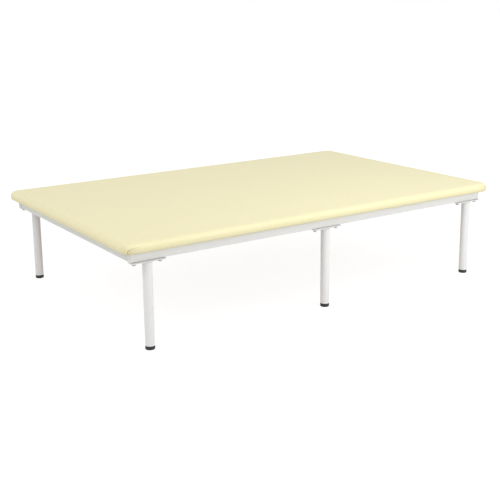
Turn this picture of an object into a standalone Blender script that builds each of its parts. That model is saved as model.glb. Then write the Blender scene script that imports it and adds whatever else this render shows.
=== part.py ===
"""Therapy training table: an upholstered platform on a steel frame with six bolted legs.

Metres, +Z up. X runs along the table and Y across it, with the front at -Y. The origin lies on
the floor, under the middle of the table. The pad is plywood, foam and a vinyl cover. The frame
is made of rectangular tube, and each leg is a round tube with a welded plate, two bolts and a
foot that screws out of a threaded plug for levelling.
"""

import math

import bmesh
import bpy
from mathutils import Vector

# Whole table
TABLE_HEIGHT = 0.430
PAD_LENGTH = 1.900
PAD_WIDTH = 1.200
PAD_THICKNESS = 0.040
PAD_OVERHANG = 0.035
SEAT_GAP = 0.0003
CUT_OVERRUN = 0.002

# Pad
PLAN_CORNER_RADIUS = 0.044
TOP_ROLL_RADIUS = 0.020
UNDER_ROLL_RADIUS = 0.010
CROWN_RISE = 0.0025
SIDE_DRAW_IN = 0.0015
COVER_THICKNESS = 0.0012
COVER_MARGIN = 0.030
BOARD_THICKNESS = 0.012

# Frame of rectangular tube
RAIL_HEIGHT = 0.040
RAIL_WIDTH = 0.020
RAIL_WALL = 0.0016
RAIL_EDGE_RADIUS = 0.003
CROSS_RAIL_SPACING = 0.455
CAP_THICKNESS = 0.002
CAP_PLUG_DEPTH = 0.010
CAP_PLUG_CLEARANCE = 0.0003

# Flow-drilled holes for the leg bolts, each with a threaded collar inside the tube
COLLAR_RADIUS = 0.0065
COLLAR_HEIGHT = 0.005

# Screws that hold the board on two cross rails
SCREW_SPACING = 0.700
SCREW_SHANK_RADIUS = 0.003
SCREW_HEAD_RADIUS = 0.006
SCREW_HEAD_HEIGHT = 0.0034
SCREW_REACH = 0.009
SCREW_CLEARANCE = 0.0005

# Legs
LEG_END_SETBACK = 0.075
LEG_RADIUS = 0.01905
LEG_WALL = 0.0016
WELD_SIZE = 0.003
PLATE_LENGTH = 0.144
PLATE_WIDTH = 0.040
PLATE_THICKNESS = 0.0045
PLATE_CORNER_RADIUS = 0.006

# Bolts of the legs, each with a flat washer and a spring washer held under its head
BOLT_SPACING = 0.110
BOLT_SHANK_RADIUS = 0.004
BOLT_HEAD_FLATS = 0.013
BOLT_HEAD_HEIGHT = 0.0053
BOLT_REACH = 0.012
BOLT_CLEARANCE = 0.0005
WASHER_RADIUS = 0.008
WASHER_THICKNESS = 0.0016
SPRING_WASHER_RADIUS = 0.0066
SPRING_WASHER_THICKNESS = 0.002

# Feet
FOOT_HEIGHT = 0.015
FOOT_EDGE_RADIUS = 0.003
FOOT_SOCKET_DEPTH = 0.008
STEM_RADIUS = 0.005
STEM_CLEARANCE = 0.0004
STEM_TOP_CHAMFER = 0.001
STEM_SPARE = 0.004
PLUG_LENGTH = 0.025
PLUG_CLEARANCE = 0.0003

# Counts
CORNER_STEPS = 4
SIDE_STEPS = 4
ROLL_STEPS = 4
CROWN_STEPS = 4
EDGE_STEPS = 2
LEG_STEPS = 24
FASTENER_STEPS = 12
HEX_SIDES = 6

# The crown's level lines grow rounder towards the middle by this share of their inset
CONTOUR_GROWTH_SHARE = 0.3
# The last level line lies this share of the way from the edge to the pad's long middle line
CROWN_REACH_SHARE = 0.85

# Places that follow from the sizes
MERGE_DISTANCE = SEAT_GAP / 100
FRAME_LENGTH = PAD_LENGTH - 2 * PAD_OVERHANG
FRAME_WIDTH = PAD_WIDTH - 2 * PAD_OVERHANG
LONG_RAIL_LENGTH = FRAME_LENGTH - 2 * CAP_THICKNESS - 2 * SEAT_GAP
RAIL_TOP = TABLE_HEIGHT - PAD_THICKNESS
RAIL_BOTTOM = RAIL_TOP - RAIL_HEIGHT
RAIL_MIDDLE = (RAIL_TOP + RAIL_BOTTOM) / 2
BOARD_BOTTOM = RAIL_TOP + SEAT_GAP
BOARD_TOP = BOARD_BOTTOM + BOARD_THICKNESS
COVER_BOTTOM = BOARD_BOTTOM - SEAT_GAP - COVER_THICKNESS
COVER_EDGE_TOP = TABLE_HEIGHT - CROWN_RISE
INNER_INSET = COVER_THICKNESS + SEAT_GAP
RAIL_LINE_Y = FRAME_WIDTH / 2 - RAIL_WIDTH / 2
RAIL_LINE_X = LONG_RAIL_LENGTH / 2 - RAIL_WIDTH / 2
PLATE_TOP = RAIL_BOTTOM - SEAT_GAP
PLATE_BOTTOM = PLATE_TOP - PLATE_THICKNESS
TUBE_TOP = PLATE_BOTTOM - SEAT_GAP
TUBE_BOTTOM = FOOT_HEIGHT + SEAT_GAP
TUBE_BORE_RADIUS = LEG_RADIUS - LEG_WALL
WASHER_TOP = PLATE_BOTTOM - SEAT_GAP
SPRING_WASHER_TOP = WASHER_TOP - WASHER_THICKNESS
SPRING_WASHER_BOTTOM = SPRING_WASHER_TOP - SPRING_WASHER_THICKNESS
SCREW_HEAD_TOP = RAIL_BOTTOM - SEAT_GAP
PEAK_RISE = CROWN_RISE * (1 - CROWN_REACH_SHARE) ** 2


def clear_scene():
    """Removes whatever the file opened with."""
    for old in list(bpy.data.objects):
        bpy.data.objects.remove(old, do_unlink=True)


def make_collection(name):
    """Adds a collection to the scene."""
    group = bpy.data.collections.new(name)
    bpy.context.scene.collection.children.link(group)
    return group


def make_finish(name, colour, roughness, metallic=0.0):
    """Makes a plain material from a linear colour, a roughness and a metallic value."""
    finish = bpy.data.materials.new(name)
    finish.use_nodes = True
    shader = finish.node_tree.nodes["Principled BSDF"]
    shader.inputs["Base Color"].default_value = (*colour, 1.0)
    shader.inputs["Roughness"].default_value = roughness
    shader.inputs["Metallic"].default_value = metallic
    return finish


clear_scene()
TABLE = make_collection("therapy_training_table")
CUTTERS = make_collection("cutters")
VINYL = make_finish("cream_vinyl", (0.900, 0.835, 0.585), 0.42)
FOAM = make_finish("foam", (0.780, 0.700, 0.480), 0.95)
PLYWOOD = make_finish("plywood", (0.620, 0.440, 0.250), 0.70)
PAINT = make_finish("off_white_paint", (0.780, 0.775, 0.755), 0.38)
CAP_PLASTIC = make_finish("off_white_plastic", (0.760, 0.760, 0.740), 0.50)
ZINC = make_finish("zinc_plated_steel", (0.620, 0.620, 0.600), 0.35, 1.0)
BLACK_PLASTIC = make_finish("black_plastic", (0.022, 0.022, 0.024), 0.55)


def smooth(mesh):
    """Shades round faces smooth and keeps the real edges sharp."""
    mesh.shade_smooth()
    mesh.set_sharp_from_angle(angle=math.radians(35))


def add_piece(name, mesh, finish, location=(0.0, 0.0, 0.0), parent=None):
    """Puts a finished mesh in the table's collection under its name."""
    mesh.materials.clear()
    mesh.materials.append(finish)
    smooth(mesh)
    piece = bpy.data.objects.new(name, mesh)
    piece.location = location
    piece.parent = parent
    TABLE.objects.link(piece)
    return piece


def add_axis(name, location, parent=None):
    """Adds an empty that stands on an axis."""
    axis = bpy.data.objects.new(name, None)
    axis.empty_display_type = "SINGLE_ARROW"
    axis.empty_display_size = FOOT_HEIGHT
    axis.location = location
    axis.parent = parent
    TABLE.objects.link(axis)
    return axis


def baked_mesh(source):
    """Takes an object's evaluated mesh, welds its loose caps and removes the object."""
    bpy.context.view_layer.update()
    graph = bpy.context.evaluated_depsgraph_get()
    mesh = bpy.data.meshes.new_from_object(source.evaluated_get(graph))
    body = bmesh.new()
    body.from_mesh(mesh)
    bmesh.ops.remove_doubles(body, verts=body.verts, dist=MERGE_DISTANCE)
    body.to_mesh(mesh)
    body.free()
    bpy.data.objects.remove(source, do_unlink=True)
    return mesh


def flat_mesh(outlines, thickness):
    """Fills a flat outline and its holes, and gives it a thickness centred on z = 0."""
    curve = bpy.data.curves.new("outline", "CURVE")
    curve.dimensions = "2D"
    curve.fill_mode = "BOTH"
    curve.extrude = thickness / 2
    for points in outlines:
        spline = curve.splines.new("POLY")
        spline.points.add(len(points) - 1)
        for point, (x, y) in zip(spline.points, points):
            point.co = (x, y, 0.0, 1.0)
        spline.use_cyclic_u = True
    shape = bpy.data.objects.new("outline", curve)
    TABLE.objects.link(shape)
    return baked_mesh(shape)


def turned_mesh(profile, steps, closed=False):
    """Turns a profile of (radius, height) points, outer side top to bottom, round the Z axis."""
    mesh = bpy.data.meshes.new("profile")
    points = [(radius, 0.0, height) for radius, height in profile]
    edges = [(i, i + 1) for i in range(len(points) - 1)]
    if closed:
        edges.append((len(points) - 1, 0))
    mesh.from_pydata(points, edges, [])
    shape = bpy.data.objects.new("profile", mesh)
    TABLE.objects.link(shape)
    screw = shape.modifiers.new("turn", "SCREW")
    screw.steps = steps
    screw.render_steps = steps
    screw.use_merge_vertices = True
    screw.merge_threshold = MERGE_DISTANCE
    return baked_mesh(shape)


def combine(mesh, other, operation):
    """Joins or cuts a mesh with another by an exact Boolean."""
    shape = bpy.data.objects.new("shape", mesh)
    TABLE.objects.link(shape)
    tool = bpy.data.objects.new("cutter", other)
    tool.display_type = "WIRE"
    tool.hide_render = True
    CUTTERS.objects.link(tool)
    boolean = shape.modifiers.new("combine", "BOOLEAN")
    boolean.operation = operation
    boolean.solver = "EXACT"
    boolean.object = tool
    result = baked_mesh(shape)
    bpy.data.objects.remove(tool, do_unlink=True)
    return result


def repeated_mesh(mesh, places):
    """Copies one mesh to each of the places, as separate solids in one mesh."""
    body = bmesh.new()
    for place in places:
        first = len(body.verts)
        body.from_mesh(mesh)
        body.verts.ensure_lookup_table()
        bmesh.ops.translate(body, verts=body.verts[first:], vec=Vector(place))
    group = bpy.data.meshes.new("group")
    body.to_mesh(group)
    body.free()
    return group


def arc(centre_x, centre_y, radius, start, end, steps):
    """Points on an arc, from the start angle to the end angle in degrees."""
    angles = [math.radians(start + (end - start) * i / steps) for i in range(steps + 1)]
    return [(centre_x + radius * math.cos(a), centre_y + radius * math.sin(a)) for a in angles]


def circle(centre_x, centre_y, radius, steps=FASTENER_STEPS):
    """Points round a whole circle."""
    return arc(centre_x, centre_y, radius, 0, 360, steps)[:-1]


def rounded_rectangle(length, width, radius, steps):
    """Outline of a rectangle with rounded corners, centred on the origin, anticlockwise."""
    x = length / 2 - radius
    y = width / 2 - radius
    points = []
    for corner, (side_x, side_y) in enumerate(((1, -1), (1, 1), (-1, 1), (-1, -1))):
        start = 90 * corner - 90
        points += arc(side_x * x, side_y * y, radius, start, start + 90, steps)
    return points


def rod_mesh(radius, length):
    """A plain round rod along Z, centred on the origin."""
    body = bmesh.new()
    bmesh.ops.create_cone(
        body,
        cap_ends=True,
        segments=FASTENER_STEPS,
        radius1=radius,
        radius2=radius,
        depth=length,
    )
    mesh = bpy.data.meshes.new("rod")
    body.to_mesh(mesh)
    body.free()
    return mesh


def pad_ring(inset, radius, height):
    """Outline of the pad at an inset from its edge, with the sides drawn in between corners."""
    corners = rounded_rectangle(PAD_LENGTH - 2 * inset, PAD_WIDTH - 2 * inset, radius, CORNER_STEPS)
    ring = []
    for i, (x, y) in enumerate(corners):
        ring.append(Vector((x, y, height)))
        if i % (CORNER_STEPS + 1) != CORNER_STEPS:
            continue
        next_x, next_y = corners[(i + 1) % len(corners)]
        inward = Vector((y - next_y, next_x - x, 0.0)).normalized()
        for step in range(1, SIDE_STEPS):
            share = step / SIDE_STEPS
            point = Vector((x + (next_x - x) * share, y + (next_y - y) * share, height))
            ring.append(point + inward * SIDE_DRAW_IN * math.sin(math.pi * share))
    return ring


def loft_mesh(rings, close_bottom, peak_rise=0.0):
    """Joins rings of equal count, from the lowest outwards, up and inwards to a lid or a low peak."""
    body = bmesh.new()
    rows = [[body.verts.new(point) for point in ring] for ring in rings]
    for lower, upper in zip(rows, rows[1:]):
        for i in range(len(lower)):
            j = (i + 1) % len(lower)
            body.faces.new((lower[i], lower[j], upper[j], upper[i]))
    if close_bottom:
        body.faces.new(reversed(rows[0]))
    lid = body.faces.new(rows[-1])
    if peak_rise:
        body.normal_update()
        bmesh.ops.poke(body, faces=[lid], offset=peak_rise)
    mesh = bpy.data.meshes.new("loft")
    body.to_mesh(mesh)
    body.free()
    return mesh


def under_roll(depth):
    """Rings round the pad's lower edge, a depth inside the cover's outer face."""
    radius = UNDER_ROLL_RADIUS - depth
    centre_height = COVER_BOTTOM + UNDER_ROLL_RADIUS
    profile = arc(UNDER_ROLL_RADIUS, centre_height, radius, 270, 180, ROLL_STEPS)
    return [pad_ring(inset, PLAN_CORNER_RADIUS - inset, height) for inset, height in profile]


def top_roll(depth):
    """Rings round the pad's upper edge, a depth inside the cover's outer face."""
    radius = TOP_ROLL_RADIUS - depth
    centre_height = COVER_EDGE_TOP - TOP_ROLL_RADIUS
    profile = arc(TOP_ROLL_RADIUS, centre_height, radius, 180, 90, ROLL_STEPS)
    return [pad_ring(inset, PLAN_CORNER_RADIUS - inset, height) for inset, height in profile]


def crown(depth):
    """Rings over the pad's top, which rises in a shallow curve towards the middle."""
    rings = []
    for step in range(1, CROWN_STEPS + 1):
        share = CROWN_REACH_SHARE * (step / CROWN_STEPS) ** 2
        run = (PAD_WIDTH / 2 - TOP_ROLL_RADIUS) * share
        radius = PLAN_CORNER_RADIUS - TOP_ROLL_RADIUS + run * CONTOUR_GROWTH_SHARE
        height = COVER_EDGE_TOP + CROWN_RISE * (1 - (1 - share) ** 2) - depth
        rings.append(pad_ring(TOP_ROLL_RADIUS + run, radius, height))
    return rings


def vinyl_cover():
    """The cover: one skin over the foam, round the board's edge and under its margin."""
    margin = pad_ring(COVER_MARGIN, PLAN_CORNER_RADIUS - COVER_MARGIN, COVER_BOTTOM)
    rings = [margin] + under_roll(0.0) + top_roll(0.0) + crown(0.0)
    mesh = loft_mesh(rings, False, PEAK_RISE)
    skin = bpy.data.objects.new("skin", mesh)
    TABLE.objects.link(skin)
    wall = skin.modifiers.new("wall", "SOLIDIFY")
    wall.thickness = COVER_THICKNESS
    wall.offset = -1.0
    wall.use_even_offset = True
    return add_piece("vinyl_cover", baked_mesh(skin), VINYL)


def foam_pad():
    """The foam: it lies on the board and fills the cover's rolled edge and crown."""
    bottom = pad_ring(INNER_INSET, PLAN_CORNER_RADIUS - INNER_INSET, BOARD_TOP + SEAT_GAP)
    mesh = loft_mesh([bottom] + top_roll(INNER_INSET) + crown(INNER_INSET), True, PEAK_RISE)
    return add_piece("foam_pad", mesh, FOAM)


def plywood_board(screw_places):
    """The board: its lower edge is rounded for the cover, and it has the screws' pilot holes."""
    top = pad_ring(INNER_INSET, PLAN_CORNER_RADIUS - INNER_INSET, BOARD_TOP)
    mesh = loft_mesh(under_roll(INNER_INSET) + [top], True)
    cutter = rod_mesh(SCREW_SHANK_RADIUS + SCREW_CLEARANCE, BOARD_THICKNESS + 2 * CUT_OVERRUN)
    middle = (BOARD_BOTTOM + BOARD_TOP) / 2
    places = [(x, y, middle) for x, y in screw_places]
    mesh = combine(mesh, repeated_mesh(cutter, places), "DIFFERENCE")
    return add_piece("plywood_board", mesh, PLYWOOD)


def tube_section(width, height, radius):
    """Outlines of a rectangular tube's outer face and bore."""
    outer = rounded_rectangle(width, height, radius, EDGE_STEPS)
    bore_radius = radius - RAIL_WALL
    bore = rounded_rectangle(width - 2 * RAIL_WALL, height - 2 * RAIL_WALL, bore_radius, EDGE_STEPS)
    return [outer, bore]


def rail_mesh(length):
    """A length of rectangular tube along Z, with its height along Y."""
    return flat_mesh(tube_section(RAIL_WIDTH, RAIL_HEIGHT, RAIL_EDGE_RADIUS), length)


def lay_along_x(piece):
    """Turns a rail from Z to X and keeps its height upright."""
    piece.rotation_euler = (math.radians(90), 0.0, math.radians(90))


def lay_along_y(piece):
    """Turns a rail from Z to Y and keeps its height upright."""
    piece.rotation_euler = (math.radians(90), 0.0, 0.0)


def upright(mesh):
    """Turns a mesh from Z to Y, the way that a rail's height runs before it is laid down."""
    body = bmesh.new()
    body.from_mesh(mesh)
    turn = Vector((0.0, 0.0, 1.0)).rotation_difference(Vector((0.0, 1.0, 0.0))).to_matrix()
    bmesh.ops.rotate(body, verts=body.verts, cent=(0.0, 0.0, 0.0), matrix=turn)
    body.to_mesh(mesh)
    body.free()
    return mesh


def span_along_rail(radius, low, high, lines):
    """Upright rods through a rail's section, from one height to another, at places along it."""
    rod = upright(rod_mesh(radius, high - low))
    return repeated_mesh(rod, [(0.0, (low + high) / 2, line) for line in lines])


def long_rail(name, side, bolt_lines):
    """A long rail, with a flow-drilled hole and its collar in the lower wall for each leg bolt."""
    underside = -RAIL_HEIGHT / 2
    collar_top = underside + RAIL_WALL + COLLAR_HEIGHT
    collars = span_along_rail(COLLAR_RADIUS, underside + RAIL_WALL / 2, collar_top, bolt_lines)
    hole_radius = BOLT_SHANK_RADIUS + BOLT_CLEARANCE
    holes = span_along_rail(
        hole_radius, underside - CUT_OVERRUN, collar_top + CUT_OVERRUN, bolt_lines
    )
    mesh = combine(rail_mesh(LONG_RAIL_LENGTH), collars, "UNION")
    mesh = combine(mesh, holes, "DIFFERENCE")
    rail = add_piece(name, mesh, PAINT, (0.0, side * RAIL_LINE_Y, RAIL_MIDDLE))
    lay_along_x(rail)
    return rail


def short_rail(name, x, screw_lines=()):
    """A rail across the table, between the long rails, with holes for any screws of the board."""
    mesh = rail_mesh(2 * (RAIL_LINE_Y - RAIL_WIDTH / 2 - SEAT_GAP))
    if screw_lines:
        reach = RAIL_HEIGHT / 2 + CUT_OVERRUN
        hole_radius = SCREW_SHANK_RADIUS + SCREW_CLEARANCE
        mesh = combine(mesh, span_along_rail(hole_radius, -reach, reach, screw_lines), "DIFFERENCE")
    rail = add_piece(name, mesh, PAINT, (x, 0.0, RAIL_MIDDLE))
    lay_along_y(rail)
    return rail


def end_cap(name, side_x, side_y):
    """A cap that closes one end of a long rail, with a plug inside the tube."""
    face = rounded_rectangle(RAIL_WIDTH, RAIL_HEIGHT, RAIL_EDGE_RADIUS, EDGE_STEPS)
    mesh = flat_mesh([face], CAP_THICKNESS)
    shrink = 2 * (RAIL_WALL + CAP_PLUG_CLEARANCE)
    plug_radius = RAIL_EDGE_RADIUS - RAIL_WALL
    plug_outline = rounded_rectangle(RAIL_WIDTH - shrink, RAIL_HEIGHT - shrink, plug_radius, EDGE_STEPS)
    depth = CAP_PLUG_DEPTH + SEAT_GAP + CAP_THICKNESS / 2
    drop = (0.0, 0.0, -side_x * depth / 2)
    plug = repeated_mesh(flat_mesh([plug_outline], depth), [drop])
    mesh = combine(mesh, plug, "UNION")
    x = side_x * (FRAME_LENGTH - CAP_THICKNESS) / 2
    cap = add_piece(name, mesh, CAP_PLASTIC, (x, side_y * RAIL_LINE_Y, RAIL_MIDDLE))
    lay_along_x(cap)
    return cap


def board_screw_mesh():
    """A pan head screw that goes up through a cross rail into the board."""
    head_bottom = SCREW_HEAD_TOP - SCREW_HEAD_HEIGHT
    tip = BOARD_BOTTOM + SCREW_REACH
    profile = [
        (0.0, tip),
        (SCREW_SHANK_RADIUS, tip - SCREW_SHANK_RADIUS / 2),
        (SCREW_SHANK_RADIUS, SCREW_HEAD_TOP),
        (SCREW_HEAD_RADIUS, SCREW_HEAD_TOP),
        (SCREW_HEAD_RADIUS, SCREW_HEAD_TOP - SCREW_HEAD_HEIGHT / 2),
        (SCREW_HEAD_RADIUS / 2, head_bottom),
        (0.0, head_bottom),
    ]
    return turned_mesh(profile, FASTENER_STEPS)


def leg_bolt_mesh():
    """A hexagon bolt with its two washers held under the head."""
    head_middle = SPRING_WASHER_BOTTOM - SEAT_GAP - BOLT_HEAD_HEIGHT / 2
    profile = [
        (0.0, RAIL_BOTTOM + BOLT_REACH),
        (BOLT_SHANK_RADIUS, RAIL_BOTTOM + BOLT_REACH),
        (BOLT_SHANK_RADIUS, WASHER_TOP),
        (WASHER_RADIUS, WASHER_TOP),
        (WASHER_RADIUS, SPRING_WASHER_TOP),
        (SPRING_WASHER_RADIUS, SPRING_WASHER_TOP),
        (SPRING_WASHER_RADIUS, SPRING_WASHER_BOTTOM),
        (BOLT_SHANK_RADIUS, SPRING_WASHER_BOTTOM),
        (BOLT_SHANK_RADIUS, head_middle),
        (0.0, head_middle),
    ]
    corner_radius = BOLT_HEAD_FLATS / 2 / math.cos(math.pi / HEX_SIDES)
    head = flat_mesh([circle(0.0, 0.0, corner_radius, HEX_SIDES)], BOLT_HEAD_HEIGHT)
    head = repeated_mesh(head, [(0.0, 0.0, head_middle)])
    return combine(turned_mesh(profile, FASTENER_STEPS), head, "UNION")


def leg_tube(name, axis):
    """The round leg, open at both ends, with its weld bead under the plate."""
    profile = [
        (LEG_RADIUS + WELD_SIZE, TUBE_TOP),
        (LEG_RADIUS, TUBE_TOP - WELD_SIZE),
        (LEG_RADIUS, TUBE_BOTTOM),
        (TUBE_BORE_RADIUS, TUBE_BOTTOM),
        (TUBE_BORE_RADIUS, TUBE_TOP),
    ]
    return add_piece(name, turned_mesh(profile, LEG_STEPS, True), PAINT, parent=axis)


def leg_plate(name, axis):
    """The plate on top of the leg, with a hole for each bolt."""
    outline = rounded_rectangle(PLATE_LENGTH, PLATE_WIDTH, PLATE_CORNER_RADIUS, EDGE_STEPS)
    hole_radius = BOLT_SHANK_RADIUS + BOLT_CLEARANCE
    holes = [circle(side * BOLT_SPACING / 2, 0.0, hole_radius) for side in (-1, 1)]
    mesh = flat_mesh([outline] + holes, PLATE_THICKNESS)
    return add_piece(name, mesh, PAINT, (0.0, 0.0, (PLATE_TOP + PLATE_BOTTOM) / 2), axis)


def foot_plug(name, axis):
    """The threaded plug pressed into the lower end of the leg."""
    outer = TUBE_BORE_RADIUS - PLUG_CLEARANCE
    bore = STEM_RADIUS + STEM_CLEARANCE
    top = TUBE_BOTTOM + PLUG_LENGTH
    ring = [(outer, top), (outer, TUBE_BOTTOM), (bore, TUBE_BOTTOM), (bore, top)]
    return add_piece(name, turned_mesh(ring, LEG_STEPS, True), ZINC, parent=axis)


def foot_pad(name, axis):
    """The black foot, as wide as the leg, with a socket for the end of its stem."""
    socket_radius = STEM_RADIUS + STEM_CLEARANCE
    socket_floor = FOOT_HEIGHT - FOOT_SOCKET_DEPTH
    flat_radius = LEG_RADIUS - FOOT_EDGE_RADIUS
    edge = arc(flat_radius, FOOT_EDGE_RADIUS, FOOT_EDGE_RADIUS, 0, -90, EDGE_STEPS)
    profile = [(0.0, socket_floor), (socket_radius, socket_floor), (socket_radius, FOOT_HEIGHT)]
    profile += [(LEG_RADIUS, FOOT_HEIGHT)] + edge + [(0.0, 0.0)]
    return add_piece(name, turned_mesh(profile, LEG_STEPS), BLACK_PLASTIC, parent=axis)


def foot_stem(name, axis):
    """The threaded stem that carries the foot and turns in the plug."""
    bottom = FOOT_HEIGHT - FOOT_SOCKET_DEPTH + SEAT_GAP
    top = TUBE_BOTTOM + PLUG_LENGTH + STEM_SPARE
    profile = [
        (0.0, top),
        (STEM_RADIUS - STEM_TOP_CHAMFER, top),
        (STEM_RADIUS, top - STEM_TOP_CHAMFER),
        (STEM_RADIUS, bottom),
        (0.0, bottom),
    ]
    return add_piece(name, turned_mesh(profile, FASTENER_STEPS), ZINC, parent=axis)


def leg(place, x, y):
    """One leg on its axis: the tube, the plate, the plug, and the foot that slides out of it."""
    axis = add_axis(place + "_leg_axis", (x, y, 0.0))
    leg_tube(place + "_leg_tube", axis)
    leg_plate(place + "_leg_plate", axis)
    foot_plug(place + "_foot_plug", axis)
    foot_axis = add_axis(place + "_foot_axis", (0.0, 0.0, 0.0), axis)
    foot_pad(place + "_foot_pad", foot_axis)
    foot_stem(place + "_foot_stem", foot_axis)


def frame(bolt_lines, screw_lines):
    """The long rails with their caps, the end rails and the cross rails."""
    long_rail("front_rail", -1, bolt_lines)
    long_rail("rear_rail", 1, bolt_lines)
    short_rail("left_end_rail", -RAIL_LINE_X)
    short_rail("right_end_rail", RAIL_LINE_X)
    short_rail("left_cross_rail", -CROSS_RAIL_SPACING, screw_lines)
    short_rail("middle_cross_rail", 0.0)
    short_rail("right_cross_rail", CROSS_RAIL_SPACING, screw_lines)
    for row, side_y in (("front", -1), ("rear", 1)):
        for column, side_x in (("left", -1), ("right", 1)):
            end_cap(row + "_" + column + "_rail_cap", side_x, side_y)


def main():
    """Builds the whole table."""
    leg_line = FRAME_LENGTH / 2 - LEG_END_SETBACK
    columns = {"left": -leg_line, "middle": 0.0, "right": leg_line}
    rows = {"front": -RAIL_LINE_Y, "rear": RAIL_LINE_Y}
    sides = {"left": -1, "right": 1}
    bolt_lines = [x + side * BOLT_SPACING / 2 for x in columns.values() for side in (-1, 1)]
    screw_rows = {"front": -SCREW_SPACING / 2, "rear": SCREW_SPACING / 2}
    screw_columns = {"left": -CROSS_RAIL_SPACING, "right": CROSS_RAIL_SPACING}

    frame(bolt_lines, list(screw_rows.values()))
    plywood_board([(x, y) for y in screw_rows.values() for x in screw_columns.values()])
    foam_pad()
    vinyl_cover()

    bolt = leg_bolt_mesh()
    for row, y in rows.items():
        for column, x in columns.items():
            place = row + "_" + column
            leg(place, x, y)
            for bolt_side, side in sides.items():
                spot = (x + side * BOLT_SPACING / 2, y, 0.0)
                add_piece(place + "_bolt_" + bolt_side, bolt, ZINC, spot)

    screw = board_screw_mesh()
    for row, y in screw_rows.items():
        for column, x in screw_columns.items():
            add_piece("board_screw_" + row + "_" + column, screw, ZINC, (x, y, 0.0))


main()
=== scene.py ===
# %% [markdown]
# # A therapy training table
#
# The object is a low platform for exercises: a cream upholstered pad on a frame of off-white
# steel tube, with six bolted legs and black feet. The solid pieces are already made and packed,
# so this lesson starts by loading them as a fixed frame. Every length is in metres, X runs along
# the table, Y across it and Z up, and the origin lies on the floor under the middle.

# %% Load the fixed frame
import math

import bmesh
import bpy
import mathutils
import numpy as np
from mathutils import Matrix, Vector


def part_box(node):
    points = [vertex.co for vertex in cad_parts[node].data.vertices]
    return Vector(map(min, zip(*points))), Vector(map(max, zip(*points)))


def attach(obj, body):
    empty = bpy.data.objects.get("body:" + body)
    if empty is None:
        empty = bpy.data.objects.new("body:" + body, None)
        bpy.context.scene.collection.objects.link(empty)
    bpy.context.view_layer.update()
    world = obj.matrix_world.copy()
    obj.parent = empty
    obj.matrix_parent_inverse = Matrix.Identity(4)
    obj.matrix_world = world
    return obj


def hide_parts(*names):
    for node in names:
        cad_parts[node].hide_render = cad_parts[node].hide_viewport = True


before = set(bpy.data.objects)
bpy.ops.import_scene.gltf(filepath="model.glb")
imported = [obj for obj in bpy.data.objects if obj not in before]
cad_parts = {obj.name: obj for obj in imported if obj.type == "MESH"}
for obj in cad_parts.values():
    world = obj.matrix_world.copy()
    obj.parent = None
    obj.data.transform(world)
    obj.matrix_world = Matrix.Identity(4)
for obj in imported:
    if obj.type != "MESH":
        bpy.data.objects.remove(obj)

bpy.context.view_layer.update()

# %% [markdown]
# ## Where things are
#
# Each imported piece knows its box. Reading the places from there, and not writing them down a
# second time, keeps the new surfaces on the solids even when the table is made longer or lower.

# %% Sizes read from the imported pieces


def low(node):
    """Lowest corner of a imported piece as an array."""
    return np.array(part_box(node)[0])


def high(node):
    """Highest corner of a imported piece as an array."""
    return np.array(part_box(node)[1])


def span(node):
    """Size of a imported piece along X, Y and Z."""
    return high(node) - low(node)


def middle(node):
    """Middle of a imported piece."""
    return (low(node) + high(node)) / 2


ROWS, COLUMNS = ("front", "rear"), ("left", "middle", "right")
PLACES = [row + "_" + column for row in ROWS for column in COLUMNS]
CORNERS = [place for place in PLACES if "middle" not in place]
LEG_AT = {place: middle(place + "_leg_tube") * (1, 1, 0) for place in PLACES}
print("legs at", {place: spot[:2].round(3).tolist() for place, spot in LEG_AT.items()})

# %% [markdown]
# ## From arrays to meshes
#
# A surface of two parameters is a grid of points: rows for one parameter, columns for the other.
# The same few lines then join any such grid with quads. Two grids that share an edge, and the
# many equal points at a pole, are welded afterwards, so no seam stays open. Running the columns
# anticlockwise round an axis and the rows up along it makes the faces point outwards.

# %% Grid, weld and piece helpers
WELD = 1e-6


def surface(points, wrap_rows=False, wrap_columns=False, flip=False):
    """A grid of points, shaped (rows, columns, 3), as a flat list of points and its quads, whose
    corners are (r, c), (r, c + 1), (r + 1, c + 1) and (r + 1, c)."""
    rows, columns = points.shape[:2]
    r = np.arange(rows if wrap_rows else rows - 1)[:, None]
    c = np.arange(columns if wrap_columns else columns - 1)[None, :]
    here, down, across = r * columns, (r + 1) % rows * columns, (c + 1) % columns
    faces = np.stack([here + c, here + across, down + across, down + c], axis=-1).reshape(-1, 4)
    return points.reshape(-1, 3), faces[:, ::-1] if flip else faces


def together(shapes):
    """Several shapes as one: each one's corner numbers move up by the points so far."""
    counts = np.cumsum([0] + [len(points) for points, _ in shapes[:-1]])
    points = np.concatenate([points for points, _ in shapes])
    return points, np.concatenate([faces + count for (_, faces), count in zip(shapes, counts)])


def moved(shape, offset):
    """A shape carried along by an offset."""
    return shape[0] + np.asarray(offset, float), shape[1]


def capped(rows):
    """Rows of points with each end closed at its own middle."""
    ends = [np.repeat(rows[k].mean(axis=0)[None, None], rows.shape[1], axis=1) for k in (0, -1)]
    return np.concatenate([ends[0], rows, ends[1]])


def on_axis(rows):
    """Rows of points with each end closed on the Z axis."""
    return np.concatenate([rows[:1] * (0, 0, 1), rows, rows[-1:] * (0, 0, 1)])


def new_mesh(name, shape):
    """A mesh of a shape's points and quads."""
    points, faces = shape
    mesh = bpy.data.meshes.new(name)
    mesh.from_pydata(np.asarray(points).tolist(), [], np.asarray(faces).tolist())
    return mesh


def points_of(mesh):
    """The points of a mesh as an array shaped (count, 3)."""
    places = np.empty(len(mesh.vertices) * 3, np.float32)
    mesh.vertices.foreach_get("co", places)
    return places.reshape(-1, 3).astype(float)


def add_object(name, data):
    """A new object in the scene for a mesh, a lamp or a camera."""
    made = bpy.data.objects.new(name, data)
    bpy.context.scene.collection.objects.link(made)
    return made


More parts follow.
